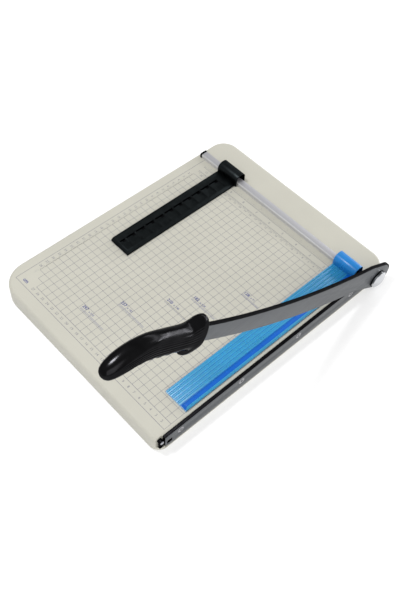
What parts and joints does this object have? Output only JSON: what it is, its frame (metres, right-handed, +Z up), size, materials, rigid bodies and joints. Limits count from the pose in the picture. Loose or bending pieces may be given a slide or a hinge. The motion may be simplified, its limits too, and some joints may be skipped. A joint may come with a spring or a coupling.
{
  "type": "guillotine paper cutter",
  "caption": "Desktop lever guillotine paper cutter with a ruled deck, sliding back stop, hinged hold-down and pivoted blade arm.",
  "frame": {"origin": "centre of the base's footprint, on the table, at the underside of the middle foot", "axes": "+X to the right, across the cutting plane; +Y from the handle towards the guide rail; +Z up"},
  "size_m": [0.33, 0.4736, 0.2682],
  "materials": {
    "base_plastic": "fine-textured moulded plastic",
    "rubber": "matt",
    "fastener_steel": "zinc-plated",
    "rail_aluminium": "satin anodised",
    "black_plastic": "semi-gloss",
    "blade_steel": "ground, with blackened edges",
    "chrome_plate": "polished",
    "brass": "turned",
    "black_steel": "blackened",
    "handle_plastic": "gloss",
    "blue_plastic": "translucent, glossy"
  },
  "bodies": {
    "base": {"base_shell": "base_plastic", "rubber_feet": "rubber", "foot_screws": "fastener_steel", "guide_rail": "rail_aluminium", "rail_end_caps": "black_plastic", "rail_screws": "fastener_steel", "fixed_blade": "blade_steel", "blade_screws": "fastener_steel", "backing_strip": "fastener_steel", "blade_nuts": "fastener_steel", "pivot_plate": "fastener_steel", "plate_screws": "fastener_steel", "pivot_bolt": "chrome_plate", "pivot_washer": "black_plastic", "pivot_bush": "brass", "disc_springs": "fastener_steel", "nut_washer": "fastener_steel", "pivot_nut": "fastener_steel", "latch_rivet": "fastener_steel", "latch_spacer": "brass"},
    "blade_lever": {"blade_arm": "blade_steel", "handle": "handle_plastic", "handle_screws": "fastener_steel", "lock_stud": "fastener_steel"},
    "back_stop": {"stop_bar": "black_plastic", "stop_spring": "fastener_steel"},
    "paper_clamp": {"hold_down": "blue_plastic", "hold_spring": "fastener_steel"},
    "latch": {"lock_latch": "black_steel"}
  },
  "joints": [
    {"name": "blade_hinge", "type": "hinge", "parent": "base", "child": "blade_lever", "pos_m": [0.1575, 0.1795, 0.0165], "axis": [-1, 0, 0], "range_deg": [-27.1, 12]},
    {"name": "stop_slide", "type": "slide", "parent": "base", "child": "back_stop", "axis": [1, 0, 0], "range_m": [-0.036, 0.184]},
    {"name": "clamp_hinge", "type": "hinge", "parent": "base", "child": "paper_clamp", "pos_m": [0.1575, 0.1603, 0.0295], "axis": [-1, 0, 0], "range_deg": [0, 60]},
    {"name": "latch_hinge", "type": "hinge", "parent": "base", "child": "latch", "pos_m": [0.1575, -0.1949, 0.0212], "axis": [-1, 0, 0], "range_deg": [0, 170]}
  ]
}
